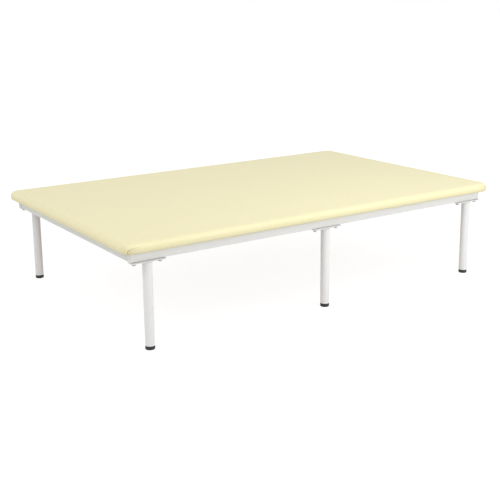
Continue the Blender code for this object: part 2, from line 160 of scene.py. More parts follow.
def make_piece(name, shape, finish, replaces=(), body="table", sharp=None):
    """Puts a shape into a smooth mesh object that rides on a body and stands for its nodes. Edges
    of more than the sharp angle, in degrees, stay crisp."""
    mesh = new_mesh(name, shape)
    welded = bmesh.new()
    welded.from_mesh(mesh)
    bmesh.ops.remove_doubles(welded, verts=welded.verts, dist=WELD)
    welded.to_mesh(mesh)
    welded.free()
    mesh.shade_smooth()
    if sharp:
        mesh.set_sharp_from_angle(angle=math.radians(sharp))
    material, slot = finish
    mesh.materials.append(material)
    piece = add_object(name, mesh)
    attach(piece, body)
    if replaces:
        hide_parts(*replaces)
    print(name, len(mesh.vertices), "points,", len(mesh.polygons), "faces")
    return piece


def leg_piece(place, ending, shape, finish, nodes=(), **more):
    """A piece that is made on the Z axis and carried to one leg, whose nodes it stands for."""
    nodes = [place + node for node in nodes]
    return make_piece(place + ending, moved(shape, LEG_AT[place]), finish, nodes, **more)


# %% [markdown]
# ## Materials: a small kit
#
# Every finish below is built from the same handful of nodes: noise or cells on Object
# coordinates, which are metres on the real table, a ramp that turns the pattern into two close
# tones, and a bump. A value that is the same all over a surface stays on the shader's own socket.

# %% Node helpers


def feed(target, value):
    """Joins a socket to an input, or sets the input's value."""
    if isinstance(value, bpy.types.NodeSocket):
        target.id_data.links.new(value, target)
    else:
        target.default_value = value


def add_node(near, kind, inputs=(), **settings):
    """A new node in the tree of a nearby node or socket, with its settings and then its inputs
    filled in, the inputs by name or number."""
    node = near.id_data.nodes.new("ShaderNode" + kind)
    for name, value in settings.items():
        setattr(node, name, value)
    for key, value in dict(inputs).items():
        feed(node.inputs[key], value)
    return node


def dressed(material, **inputs):
    """Feeds the inputs of a material's shader and gives the material back."""
    shader = material.node_tree.nodes["Principled BSDF"]
    for name, value in inputs.items():
        feed(shader.inputs[name.replace("_", " ")], value)
    return material


def start_material(name, **fixed):
    """A material with its shader's constant values set, and its Object coordinates."""
    material = bpy.data.materials.new(name)
    material.use_nodes = True
    dressed(material, **fixed)
    return material, add_node(material.node_tree, "TexCoord").outputs["Object"]


def stretched(vector, scale):
    """Object coordinates stretched by a scale on each axis, for grain that runs one way."""
    return add_node(vector, "Mapping", dict(Vector=vector, Scale=scale)).outputs["Vector"]


def noise(vector, scale, detail=3.0, roughness=0.5, distortion=0.0):
    """Soft noise from 0 to 1; scale is in waves to the metre."""
    inputs = dict(Scale=scale, Detail=detail, Roughness=roughness, Distortion=distortion)
    return add_node(vector, "TexNoise", dict(inputs, Vector=vector)).outputs["Fac"]


def cells(vector, scale, feature="DISTANCE_TO_EDGE"):
    """Pebble-like cells; the distance to a cell's edge is a natural leather grain."""
    inputs = dict(Vector=vector, Scale=scale)
    return add_node(vector, "TexVoronoi", inputs, feature=feature).outputs["Distance"]


def ramp(value, *stops):
    """Turns a value into a colour or a grey by (place, colour) stops."""
    node = add_node(value, "ValToRGB", dict(Fac=value))
    elements = node.color_ramp.elements
    elements[0].position, elements[1].position = stops[0][0], stops[-1][0]
    for place, _ in stops[1:-1]:
        elements.new(place)
    for element, (_, colour) in zip(elements, stops):
        element.color = (*colour, 1.0) if isinstance(colour, tuple) else (*(colour,) * 3, 1.0)
    return node.outputs["Color"]


def arithmetic(operation, first, second):
    """One Math node of a socket and a second socket or number."""
    return add_node(first, "Math", {0: first, 1: second}, operation=operation).outputs["Value"]


def blended(share, first, second):
    """Two colours mixed by a share; each is a socket or a linear colour. A Mix node's sockets for
    colours are inputs 6 and 7 and output 2."""
    first, second = [(*c, 1.0) if isinstance(c, tuple) else c for c in (first, second)]
    inputs = {"Factor": share, 6: first, 7: second}
    return add_node(share, "Mix", inputs, data_type="RGBA").outputs[2]


def times(first, second):
    """Two colours multiplied channel by channel."""
    inputs = {0: first, 1: second}
    return add_node(first, "VectorMath", inputs, operation="MULTIPLY").outputs["Vector"]


def above_floor(place):
    """Height above the floor: the Z of the Object coordinates."""
    return add_node(place, "SeparateXYZ", dict(Vector=place)).outputs["Z"]


def bump(height, distance, strength, under=None):
    """A bump by a pattern, which is worth a distance in metres at 1, over another bump if one
    is given."""
    inputs = dict(Height=height, Distance=distance, Strength=strength)
    if under is not None:
        inputs["Normal"] = under
    return add_node(height, "Bump", inputs).outputs["Normal"]


# %% [markdown]
# ## The finishes
#
# The pad is covered with vinyl leather: a fine pebble grain, a soft satin gloss and hardly any
# variation in its cream colour, as it comes off one roll. The grain is about a millimetre, so
# from the camera's distance it only softens the gloss, and it must stay shallow. Its tone also
# follows the height on the pad's side: a painted highlight along the rolled edge, and painted
# shade lower down the side and towards the underside.
#
# A finish is kept as a pair: its material, and the imported material slot that it belongs to.

# %% Cream vinyl
# Painted highlight and shade on the pad's side: a tone by height, lighter on the rolled edge and
# darker down the side towards the underside.
PAINTED_LIGHT_FROM, PAINTED_LIGHT_TALL = 0.385, 0.045
PAINTED_LIGHT_PLACES = (0.16, 0.34, 0.50, 0.68, 0.86, 0.95)
PAINTED_LIGHT_LEVELS = (0.930, 0.960, 1.020, 1.055, 1.030, 1.000)


def vinyl_finish():
    """Pebble grain from cell edges over a slower wrinkle noise; the cream drifts by 2 to 3 %, has
    a painted highlight on the roll and painted shade lower down the side, by height, and painted
    shade where the mesh's fold attribute is high."""
    material, place = start_material("cream_vinyl_looks", Roughness=0.46, Specular_IOR_Level=0.22)
    tone = blended(noise(place, 3.5, 2.0), (0.877, 0.813, 0.506), (0.894, 0.834, 0.531))
    tone = times(tone, ramp(noise(place, 95.0, 4.0, 0.75), (0.32, 0.948), (0.66, 1.0)))
    # Painted highlight and shade: the cream follows the height up the pad's side.
    painted_light_height = arithmetic("SUBTRACT", above_floor(place), PAINTED_LIGHT_FROM)
    painted_light_height = arithmetic("DIVIDE", painted_light_height, PAINTED_LIGHT_TALL)
    tone = times(tone, ramp(painted_light_height, *zip(PAINTED_LIGHT_PLACES, PAINTED_LIGHT_LEVELS)))
    # Painted shade in the corner fold and its valleys: the fold attribute darkens the cream
    # towards a brown.
    painted_crease_shade = add_node(place, "Attribute", attribute_name="fold").outputs["Fac"]
    wrinkle = bump(noise(place, 130.0, 4.0, 0.6, 0.4), 0.00035, 0.35)
    pebble = ramp(cells(place, 760.0), (0.0, 0.0), (0.22, 1.0))
    return dressed(
        material,
        # Painted shade where the vinyl is folded.
        Base_Color=blended(painted_crease_shade, tone, (0.540, 0.480, 0.280)),
        Roughness=ramp(noise(place, 60.0), (0.25, 0.40), (0.75, 0.49)),
        Normal=bump(pebble, 0.00012, 0.45, wrinkle),
    )


VINYL = vinyl_finish(), "cream_vinyl"
print("vinyl made")

# %% [markdown]
# The steel is powder coated off-white. Powder coat flows out into a very fine orange peel, so
# its highlights have a soft, slightly uneven edge. A little dust and rubbed paint gathers low on
# the legs, where shoes and mops touch them; it is painted by height above the floor. The leg
# plates and the short rails take the same finish a shade greyer: this is painted shade, for the
# shade at the left end and under the pad.

# %% Off-white powder coat and cap plastic


def paint_finish(name, deep, pale):
    """Two close off-whites drifting slowly, scuffs that fade with height, orange peel bump."""
    material, place = start_material(name, Roughness=0.36, Coat_Weight=0.20, Coat_Roughness=0.18)
    near_floor = ramp(above_floor(place), (0.0, 1.0), (0.11, 0.0))
    scuff = ramp(noise(place, 170.0, 5.0, 0.65, 0.6), (0.60, 0.0), (0.72, 1.0))
    share = arithmetic("MULTIPLY", arithmetic("MULTIPLY", near_floor, scuff), 0.35)
    tone = blended(noise(place, 5.0, 2.0), deep, pale)
    return dressed(
        material,
        Base_Color=blended(share, tone, (0.560, 0.550, 0.530)),
        Roughness=ramp(noise(place, 45.0), (0.25, 0.32), (0.75, 0.42)),
        Normal=bump(noise(place, 420.0, 2.0), 0.00012, 0.30),
    )


def cap_finish():
    """Moulded plastic, a shade whiter than the paint, with a fine spark-eroded grain."""
    material, place = start_material("off_white_plastic_looks", Roughness=0.50)
    tone = blended(noise(place, 30.0, 2.0), (0.865, 0.865, 0.850), (0.885, 0.885, 0.870))
    return dressed(material, Base_Color=tone, Normal=bump(noise(place, 1500.0), 0.00005, 0.5))


PALE = (0.820, 0.820, 0.818), (0.850, 0.850, 0.848)
# Painted shade: a greyer copy of the paint darkens the leg plates and the short rails.
PAINTED_SHADE_TONES = (0.725, 0.725, 0.720), (0.750, 0.750, 0.745)
PAINT = paint_finish("off_white_paint_looks", *PALE), "off_white_paint"
PAINTED_SHADE_PAINT = paint_finish("painted_shade_paint_looks", *PAINTED_SHADE_TONES), "off_white_paint"
CAP_PLASTIC = cap_finish(), "off_white_plastic"
print("paint and cap plastic made")

# %% [markdown]
# Zinc plating is a bright grey metal with a faint crystalline mottling. The feet are black
# moulded plastic, matt, with faint pale scuffs. The board is birch-faced plywood and the foam is
# an open-cell cushion foam; neither shows in the photo, but both show from below or when the pad
# is opened, so they get their own grain as well.

# %% Zinc, black plastic, plywood and foam


def zinc_finish():
    """Metal of two close greys in small crystals, its roughness following the same crystals."""
    material, place = start_material("zinc_plated_steel_looks", Roughness=0.36, Metallic=1.0)
    crystal = cells(place, 420.0, "F1")
    return dressed(
        material,
        Base_Color=blended(crystal, (0.470, 0.468, 0.452), (0.400, 0.402, 0.398)),
        Roughness=ramp(crystal, (0.1, 0.30), (0.8, 0.44)),
        Normal=bump(noise(place, 900.0, 2.0), 0.00004, 0.4),
    )


def black_finish():
    """Near-black plastic with a fine grain and pale dust in thin streaks."""
    material, place = start_material("black_plastic_looks", Roughness=0.50)
    dust = ramp(noise(place, 260.0, 5.0, 0.7), (0.55, 0.0), (0.75, 1.0))
    share = arithmetic("MULTIPLY", dust, 0.12)
    return dressed(
        material,
        Base_Color=blended(share, (0.016, 0.016, 0.018), (0.160, 0.155, 0.145)),
        Roughness=ramp(noise(place, 120.0), (0.3, 0.42), (0.7, 0.58)),
        Normal=bump(noise(place, 1100.0), 0.00006, 0.6),
    )


def plywood_finish():
    """Rotary-cut veneer: long bands from noise stretched along X, with darker pores."""
    material, place = start_material("plywood_looks", Roughness=0.62)
    bands = noise(stretched(place, (0.7, 9.0, 9.0)), 3.0, 5.0, 0.6, 1.6)
    pores = noise(stretched(place, (6.0, 160.0, 160.0)), 6.0, 3.0, 0.7)
    browns = (0.520, 0.350, 0.190), (0.640, 0.460, 0.270), (0.720, 0.550, 0.350)
    tone = ramp(bands, *zip((0.30, 0.52, 0.72), browns))
    share = ramp(pores, (0.58, 0.0), (0.74, 0.45))
    tone = blended(share, tone, (0.330, 0.200, 0.100))
    return dressed(material, Base_Color=tone, Normal=bump(pores, 0.00012, 0.4))


def foam_finish():
    """Open-cell foam: small round cells with dark centres and pale walls."""
    material, place = start_material("foam_looks", Roughness=0.95)
    pore = cells(place, 900.0, "F1")
    tone = ramp(pore, (0.15, (0.600, 0.520, 0.320)), (0.55, (0.820, 0.740, 0.500)))
    return dressed(material, Base_Color=tone, Normal=bump(pore, 0.0004, 0.8))


ZINC = zinc_finish(), "zinc_plated_steel"
BLACK_PLASTIC = black_finish(), "black_plastic"
PLYWOOD = plywood_finish()
FOAM = foam_finish(), "foam"
print("zinc, black plastic, plywood and foam made")

# %% [markdown]
# ## The pad
#
# The pad is one sheet of vinyl pulled tight over a foam slab and a board, and stapled under the
# board. Blown up whole by Cloth, as a loose cushion is, such a flat pad would balloon and lose
# its folded corners, so only the bulge of its top is simulated and the rest is worked out
# directly. Its plan is a rectangle with rounded corners. The top is a grid over that plan with a
# low crown. The skirt is the plan's outline carried outwards and down along a profile: the
# rolled top edge, a short side, the under-roll and the flat margin under the board.

# %% Plan of the pad
COVER_BOTTOM = low("vinyl_cover")[2]
LENGTH, WIDTH = span("vinyl_cover")[:2]
TOP_ROLL = 0.020
UNDER_ROLL = 0.010
OUTER_CORNER = 0.044
INNER_CORNER = OUTER_CORNER - TOP_ROLL
MARGIN = 0.030
CROWN_RISE = 0.0025
SIDE_DRAW_IN = 0.0015
COVER_THICKNESS = 0.0012
CORNER_CELLS = 36
FINE_END = 0.060
EDGE_TOP = high("vinyl_cover")[2] - CROWN_RISE
STRAIGHT = np.array([LENGTH, WIDTH]) / 2 - OUTER_CORNER


def side_parameters(straight_half, cells_along, fine_cells):
    """One side as two arrays: the place on its straight part, and from -1 to 1 the corner share.
    Next to a corner the cells of the straight part are fine and grow as (t + t^2) / 2."""
    ends = np.linspace(0.0, 1.0, CORNER_CELLS + 1)
    t = np.linspace(0.0, 1.0, fine_cells + 1)[:-1]
    fine = FINE_END * (t + t * t) / 2
    even = np.linspace(-1.0, 1.0, cells_along + 1) * (straight_half - FINE_END)
    straight = np.concatenate([fine - straight_half, even, straight_half - fine[::-1]])
    place = np.pad(straight, CORNER_CELLS, mode="edge")
    corner = np.concatenate([-ends[:0:-1], np.zeros(len(straight)), ends[1:]])
    return place, corner


PLACE_X, CORNER_X = side_parameters(STRAIGHT[0], 76, 28)
PLACE_Y, CORNER_Y = side_parameters(STRAIGHT[1], 46, 4)


def plan(radius):
    """Points of the plan for a corner radius. In a corner square with shares a and b, the square
    becomes a quarter disc: x = r a sqrt(1 - b^2 / 2), y = r b sqrt(1 - a^2 / 2)."""
    a, b = CORNER_X[:, None], CORNER_Y[None, :]
    x = PLACE_X[:, None] + radius * a * np.sqrt(1 - b**2 / 2)
    y = PLACE_Y[None, :] + radius * b * np.sqrt(1 - a**2 / 2)
    return x, y


def rim_indices():
    """Row and column numbers of the grid's border, anticlockwise, each corner once."""
    last_row, last_column = len(PLACE_X) - 1, len(PLACE_Y) - 1
    rows, columns = np.arange(last_row), np.arange(last_column)
    i = [rows, columns * 0 + last_row, last_row - rows, columns * 0]
    j = [rows * 0, columns, rows * 0 + last_column, last_column - columns]
    return np.concatenate(i), np.concatenate(j)


RIM = rim_indices()
print("plan grid", len(PLACE_X), "x", len(PLACE_Y), "and a rim of", len(RIM[0]))

# %% [markdown]
# A tight cover still bulges a little over its foam. That bulge is simulated: a flat sheet of
# the top's size is pinned along its rim, and Cloth blows it up by air pressure for 20 frames
# with gravity off. Vinyl leather hardly gives, so the bulge is then capped: its heights are
# scaled to the rise that the foam allows, and each point of the top looks up its height there.

# %% Bulge of the top from a cloth simulation
SHEET_HALF = np.array([LENGTH, WIDTH]) / 2 - TOP_ROLL
SHEET_COUNT = (95, 60)


def flat_sheet():
    """A flat grid inside the rolled edge, with its border in the vertex group "rim"."""
    lines = [np.linspace(-half, half, count) for half, count in zip(SHEET_HALF, SHEET_COUNT)]
    x, y = np.meshgrid(*lines, indexing="ij")
    points, faces = surface(np.stack([x, y, np.zeros_like(x)], axis=-1), flip=True)
    sheet = add_object("sheet", new_mesh("sheet", (points, faces)))
    border = np.abs(np.abs(points[:, :2]) - SHEET_HALF).min(-1) < WELD
    sheet.vertex_groups.new(name="rim").add(np.nonzero(border)[0].tolist(), 1.0, "REPLACE")
    return sheet


def simulated_bulge(frames=20):
    """Heights of the settled sheet as shares of the highest, made even left to right and front
    to back by the mean of the four mirrored copies."""
    sheet = flat_sheet()
    cloth = sheet.modifiers.new("cloth", "CLOTH").settings
    cloth.quality = 5
    cloth.mass = 0.3
    cloth.tension_stiffness = cloth.compression_stiffness = 40.0
    cloth.tension_damping = cloth.compression_damping = cloth.shear_damping = 25.0
    cloth.air_damping = 5.0
    cloth.use_pressure = True
    cloth.uniform_pressure_force = 4.0
    cloth.effector_weights.gravity = 0.0
    cloth.vertex_group_mass = "rim"
    for number in range(1, frames + 1):
        bpy.context.scene.frame_set(number)
    settled = sheet.evaluated_get(bpy.context.evaluated_depsgraph_get()).to_mesh()
    height = points_of(settled)[:, 2].reshape(SHEET_COUNT)
    bpy.data.objects.remove(sheet)
    bpy.context.scene.frame_set(1)
    height = (height + height[::-1] + height[:, ::-1] + height[::-1, ::-1]) / 4
    print("bulge of", round(height.max() * 1000, 1), "mm before it is capped")
    return height / height.max()


BULGE = simulated_bulge()

# %% [markdown]
# The vinyl's own behaviour comes next, as small moves of a few tenths of a millimetre up to two
# or three millimetres. Between the corners the pull of the staples draws the sides in. At each
# corner the end's vinyl runs round the corner and ends in a fold, which goes up the side and
# bends over along the roll of the long side; under the bend the spare vinyl is gathered in small
# puckers, as the photo shows at its near corner. Along the sides the foam shows through as a
# slow waviness, so the gloss on the roll isn't ruler straight.

# %% Crown, draw-in, gathers and waviness
CREASE = 48.0
FOLD_REACH = 0.0435
FOLD_END = 0.0450
FOLD_RISE = 0.0135
FOLD_BEND = EDGE_TOP - 0.0255
FOLD_DEPTH = 0.0027
SWELL, SWELL_LEAD, SWELL_TAIL = 0.0022, 0.033, 0.055
PUCKER, DIMPLE, DIMPLE_LONG, DIMPLE_TALL = 0.0006, 0.00028, 0.0076, 0.008
VALLEY_PLACES = np.array([-24.6, -13.1, 9.0, 17.0, 27.0, 35.5, 46.0]) * 1e-3
VALLEY_DEPTHS = np.array([0.25, 0.35, 1.00, 0.80, 0.75, 0.50, 0.35]) * 1e-3
VALLEY_WIDTHS = np.array([3.1, 2.6, 2.0, 2.3, 2.5, 2.5, 3.0]) * 1e-3


def crown_height(x, y, half_x, half_y):
    """Rise over the top: the crown's rise times the bulge at (x / half_x, y / half_y), taken
    between its four nearest points."""
    shares = (x / half_x, y / half_y)
    i, j = [np.clip((s + 1) / 2, 0, 1) * (n - 1) for s, n in zip(shares, SHEET_COUNT)]
    low_i, low_j = [np.minimum(k.astype(int), n - 2) for k, n in zip((i, j), SHEET_COUNT)]
    a, b = i - low_i, j - low_j
    near = (1 - b) * BULGE[low_i, low_j] + b * BULGE[low_i, low_j + 1]
    far = (1 - b) * BULGE[low_i + 1, low_j] + b * BULGE[low_i + 1, low_j + 1]
    return CROWN_RISE * ((1 - a) * near + a * far)


def drawn_in(x, y, half_x, half_y):
    """Moves points inwards by sin(pi t) of the draw-in, t along the side, most at the rim."""
    tx, ty = [np.clip((v + s) / (2 * s), 0, 1) for v, s in zip((x, y), STRAIGHT)]
    pull_y = SIDE_DRAW_IN * np.sin(np.pi * tx) * (y / half_y) ** 5
    pull_x = SIDE_DRAW_IN * np.sin(np.pi * ty) * (x / half_x) ** 5
    return x - pull_x, y - pull_y


def past_crease(points, normal):
    """Way along the rim from the crease, in metres: radius x turn on the corner, which is 0 on
    the short end and 90 degrees on the long side, then on along the long side, and below 0 on
    the end's side."""
    turn = np.degrees(np.arctan2(np.abs(normal[:, 1]), np.abs(normal[:, 0])))
    along = np.clip(STRAIGHT - np.abs(points[:, :2]), 0, None)
    return np.radians(turn - CREASE) * OUTER_CORNER + along[:, 0] - along[:, 1]


def fold_path(way, height):
    """How far out of the corner fold's path a point lies, 1 on it: an upright line just past the
    crease up to the bend, then a quarter ellipse that leans over to the long side."""
    across = np.clip((FOLD_END - way) / FOLD_REACH, 0, None)
    above = np.clip((height - FOLD_BEND) / FOLD_RISE, 0, None)
    return np.hypot(across, above)


def under_fold(path):
    """1 inside the fold's path and 0 outside, by a hyperbolic tangent."""
    return 0.5 - 0.5 * np.tanh((path - 0.97) / 0.03)


def valleys(way, height):
    """Depth of the fold, d exp(-((path - 1) / w)^2), shallower and wider over its bend, and of
    upright valleys, e exp(-((way - place) / width)^2), of which those past the crease stay under
    the fold."""
    path = fold_path(way, height)
    over = np.clip((height - FOLD_BEND) / FOLD_RISE, 0, 1)
    fade = np.clip((FOLD_END + 0.012 - way) / 0.030, 0, 1)
    fold = np.exp(-(((path - 1) / (0.038 + 0.052 * over)) ** 2))
    fold = (FOLD_DEPTH - 0.0014 * over) * fade * fold
    upright = VALLEY_DEPTHS * np.exp(-(((way[..., None] - VALLEY_PLACES) / VALLEY_WIDTHS) ** 2))
    share = np.where(VALLEY_PLACES > 0, under_fold(path)[..., None], 1.0)
    return fold + (upright * share).sum(-1)


def gathers(way, height):
    """Outward move at a corner: a swell of 2.2 mm that grows as ((way + 33 mm) / 33 mm)^2 up to
    the crease and dies away over the fold; under the fold 0.6 mm that fades, with dimples
    p sin(2 pi way / 7.6 mm) sin(2 pi z / 8 mm); less the valleys."""
    under = under_fold(fold_path(way, height))
    left = np.clip(1 - way / SWELL_TAIL, 0, 1)
    grows = np.clip(1 + way / SWELL_LEAD, 0, 1) ** 2
    swell = SWELL * np.where(way < 0, grows, left**2)
    share = np.clip((way - 0.001) / 0.0025, 0, 1) * np.clip((0.060 - way) / 0.020, 0, 1)
    across = np.sin(2 * np.pi * (way - 0.006) / DIMPLE_LONG)
    dimples = across * np.sin(2 * np.pi * height / DIMPLE_TALL)
    puckered = PUCKER * left + DIMPLE * share * dimples
    return swell * (1 - under) + puckered * under - valleys(way, height)


def waviness(distance):
    """Slow in-and-out move along the side: three sines of 63, 97 and 151 mm with fixed phases."""
    lengths = np.array([0.063, 0.097, 0.151])
    heights = np.array([0.10, 0.10, 0.16]) * 1e-3
    phases = np.array([0.4, 2.1, 4.4])
    return (heights * np.sin(2 * np.pi * distance[..., None] / lengths + phases)).sum(-1)


sample = np.linspace(-0.04, 0.08, 481), np.linspace(COVER_BOTTOM, EDGE_TOP, 80)[:, None]
sample = gathers(*sample) * 1000
print("gathers from", sample.min().round(2), "to", sample.max().round(2), "mm")

# %% [markdown]
# Now the two surfaces are put together. The skirt's profile is one polyline of offset and
# height, walked from the rolled edge to the margin; each of its points carries the whole rim
# outwards along the rim's normals. A Solidify modifier then gives the vinyl its 1.2 mm.

# %% The skirt's profile
ROLL_ROWS = 22
GATHERS_FROM, GATHERS_OVER = 30, 48


def skirt_profile():
    """Columns: offset, height, outward and upward share of the surface's normal, and the
    gathers' share, which eases in over a few degrees of the roll."""
    over = np.linspace(0, np.pi / 2, ROLL_ROWS)
    under = np.linspace(0, np.pi / 2, 7)
    side_top, side_bottom = EDGE_TOP - TOP_ROLL, COVER_BOTTOM + UNDER_ROLL
    side = np.linspace(side_top, side_bottom, 6)[1:-1]
    inward = np.linspace(TOP_ROLL - UNDER_ROLL, TOP_ROLL - MARGIN, 4)[1:]
    rise = np.clip((np.degrees(over) - GATHERS_FROM) / GATHERS_OVER, 0, 1)
    roll = (TOP_ROLL * np.sin(over), side_top + TOP_ROLL * np.cos(over))
    tuck = (TOP_ROLL - UNDER_ROLL * (1 - np.cos(under)), side_bottom - UNDER_ROLL * np.sin(under))
    parts = [
        (*roll, np.sin(over), np.cos(over), rise * rise * (3 - 2 * rise)),
        (TOP_ROLL, side, 1.0, 0.0, 1.0),
        (*tuck, np.cos(under), -np.sin(under), 1.0),
        (inward, COVER_BOTTOM, 0.0, -1.0, np.linspace(0.5, 0.2, 3)),
    ]
    return np.concatenate([np.stack(np.broadcast_arrays(*part), axis=-1) for part in parts])


def rim_and_normals():
    """The rim of the plan inside the roll: points and unit normals, both shaped (count, 2)."""
    x, y = plan(INNER_CORNER)
    rim = np.stack([x[RIM], y[RIM]], axis=-1)
    return rim, (rim - np.clip(rim, -STRAIGHT, STRAIGHT)) / INNER_CORNER


PROFILE = skirt_profile()
RIM_POINTS, RIM_NORMALS = rim_and_normals()
WAY = past_crease(RIM_POINTS, RIM_NORMALS)
print("profile of", len(PROFILE), "rows round a rim of", len(WAY), "points")

# %% Cover and foam surfaces
FOAM_GAP = 0.0004
RIDGE_SHARE = 0.4


def top_surface(corner, drop=0.0):
    """The plan drawn in at its sides, at the edge's height plus the crown's."""
    half_x, half_y = STRAIGHT + corner
    x, y = drawn_in(*plan(corner), half_x, half_y)
    return np.stack([x, y, EDGE_TOP - drop + crown_height(x, y, half_x, half_y)], axis=-1)


def hung_from(top, reach, height):
    """A skirt hung from the rim of a top: rim + normal x reach at each height, from the rim on."""
    rim = top[RIM]
    skirt = np.empty((*reach.shape, 3))
    skirt[..., :2] = rim[:, :2] + RIM_NORMALS * reach[..., None]
    skirt[..., 2] = height
    skirt[0, :, 2] = rim[:, 2]
    return skirt


def cover_shape():
    """Skirt point = rim + normal (offset + move x outward share), height + move x upward share,
    with move = gathers and waviness, each times its share along the profile. Under the board
    only the valleys are left, as low ridges."""
    top = top_surface(INNER_CORNER)
    outer = RIM_POINTS + RIM_NORMALS * TOP_ROLL
    distance = np.concatenate([[0.0], np.cumsum(np.linalg.norm(np.diff(outer, axis=0), axis=1))])
    ease = 1 - np.abs(2 * distance / distance[-1] - 1) ** 40
    offset, height, out, up, share = PROFILE.T[..., None]
    move = share * gathers(WAY, height) + out * (waviness(distance) * ease)
    margin = up[:, 0] < -0.999
    move[margin] = np.minimum(move[margin], 0.0) * -RIDGE_SHARE
    skirt = hung_from(top, offset + move * out, height + move * up)
    return together([surface(top, flip=True), surface(skirt, wrap_columns=True, flip=True)])


def painted_shade_in_creases(points):
    """How deep in a fold each point lies, 0 to 1: the valleys' share of the fold's full depth at
    its place on the rim and its height, eased in over the 8 mm below the rolled edge. It sets how
    much painted shade the vinyl gets in the fold."""
    beyond = points[:, :2] - np.clip(points[:, :2], -STRAIGHT, STRAIGHT)
    below = np.clip((EDGE_TOP - 0.002 - points[:, 2]) / 0.008, 0, 1)
    depth = valleys(past_crease(points, beyond), points[:, 2])
    return np.clip(depth / FOLD_DEPTH, 0, 1) * below


cover = make_piece("pad_cover", cover_shape(), VINYL, ["vinyl_cover"])
# The fold attribute holds the painted shade of the fold and its valleys.
fold = cover.data.attributes.new("fold", "FLOAT", "POINT")
fold.data.foreach_set("value", painted_shade_in_creases(points_of(cover.data)).astype(np.float32))
skin = cover.modifiers.new("thickness", "SOLIDIFY")
skin.thickness = COVER_THICKNESS
skin.offset = -1.0


def foam_shape():
    """The cover's form 1.6 mm further in, pressed in by the gathers, with a flat bottom."""
    inset, floor_height = COVER_THICKNESS + FOAM_GAP, low("foam_pad")[2]
    radius = TOP_ROLL - inset
    top = top_surface(INNER_CORNER, inset)
    _, _, out, up, share = PROFILE[:ROLL_ROWS].T
    side = np.array([floor_height + 0.001, floor_height])
    height = np.concatenate([EDGE_TOP - TOP_ROLL + radius * up, side])[:, None]
    offset = np.concatenate([radius * out, [radius, radius]])[:, None]
    share = np.concatenate([share, [1.0, 1.0]])[:, None]
    pressed = np.minimum(gathers(WAY, height), 0.0)
    skirt = hung_from(top, offset + share * pressed, height)
    bottom = top_surface(OUTER_CORNER - inset)
    bottom[..., 2] = floor_height
    bottom[RIM] = skirt[-1]
    closed = surface(skirt, wrap_columns=True, flip=True)
    return together([surface(top, flip=True), closed, surface(bottom)])


foam = make_piece("pad_foam", foam_shape(), FOAM, ["foam_pad"])

# %% [markdown]
# ## Turned and swept pieces
#
# Legs, feet, washers and stems are turned: a profile of radius and height, carried round the Z
# axis. Rails are swept: a rounded section carried along a line, out along the outer skin and
# back along the bore. Close rows beside every rounded edge, 0.4 or 0.5 mm away, keep the flat
# faces flat when the mesh is shaded smooth.

# %% Turned shapes


def around(radius, height, angle):
    """Points x = r cos t, y = r sin t, z = h of a radius, a height and an angle."""
    grid = np.broadcast_arrays(radius * np.cos(angle), radius * np.sin(angle), height)
    return np.stack(grid, axis=-1)


def full_turn(steps):
    """Angles of one turn in even steps, the last one short of the first."""
    return np.linspace(0, 2 * np.pi, steps, endpoint=False)


def turned(profile, steps=48):
    """A profile of (radius, height) pairs that runs up the outer side, carried once round."""
    radius, height = np.array(profile, float).T[..., None]
    return surface(around(radius, height, full_turn(steps)), wrap_columns=True)


def rounded(corner_r, corner_h, size, start, end, steps=5):
    """Points of an arc of a profile, about a centre, from one angle in degrees to another."""
    angle = np.radians(np.linspace(start, end, steps))
    return list(zip(corner_r + size * np.cos(angle), corner_h + size * np.sin(angle)))


# %% [markdown]
# A leg is a length of 38 mm tube. The saw cut at its foot is deburred, which is a tiny radius
# that catches the light above the black foot. The plug inside it is turned from zinc-plated
# steel and shows only when the foot is screwed out.

# %% Leg tubes and plugs
LEG_RADIUS = span("front_left_foot_pad")[0] / 2
TUBE_WALL = 0.0016
TUBE_LOW, TUBE_TOP = low("front_left_leg_tube")[2], high("front_left_leg_tube")[2]
PLUG_TOP, PLUG_RADIUS = high("front_left_foot_plug")[2], span("front_left_foot_plug")[0] / 2
PLUG_BORE = 0.0054


def leg_profile():
    """Outer wall from its deburred foot to the top, over the rim and down the bore again."""
    edge, bore, full = 0.0005, LEG_RADIUS - TUBE_WALL, LEG_RADIUS
    profile = rounded(bore + edge, TUBE_LOW + edge, edge, 180, 270, 4)
    profile += rounded(full - edge, TUBE_LOW + edge, edge, 270, 360, 5)
    profile += [(full, TUBE_LOW + 0.0015), (full, TUBE_TOP - 0.001), (full, TUBE_TOP)]
    profile += [(bore, TUBE_TOP), (bore, TUBE_TOP - 0.001), (bore, TUBE_LOW + 0.0015)]
    return profile + [profile[0]]


def plug_profile():
    """A thick ring, a hair inside the tube, with a small chamfer at the threaded bore's mouth."""
    chamfer, edge, full = 0.0008, 0.0004, PLUG_RADIUS
    profile = [(PLUG_BORE, TUBE_LOW + chamfer), (PLUG_BORE + chamfer, TUBE_LOW)]
    profile += [(full - edge, TUBE_LOW), (full, TUBE_LOW + edge), (full, PLUG_TOP - edge)]
    return profile + [(full - edge, PLUG_TOP), (PLUG_BORE, PLUG_TOP), profile[0]]


for place in PLACES:
    leg_piece(place, "_leg", turned(leg_profile(), 64), PAINT, ["_leg_tube"])
    leg_piece(place, "_plug", turned(plug_profile()), ZINC, ["_foot_plug"], sharp=30)

# %% [markdown]
# The weld that joins a tube to its plate is laid in small overlapping pools, so its surface
# ripples. The section is a quarter round in the angle between tube and plate, and the ripple is
# a sine of the way along the weld. The same function serves the ring on a leg and the straight
# beads between the rails; only the path differs.

# %% Weld beads
LEG_WELD, RAIL_WELD = 0.0030, 0.0035


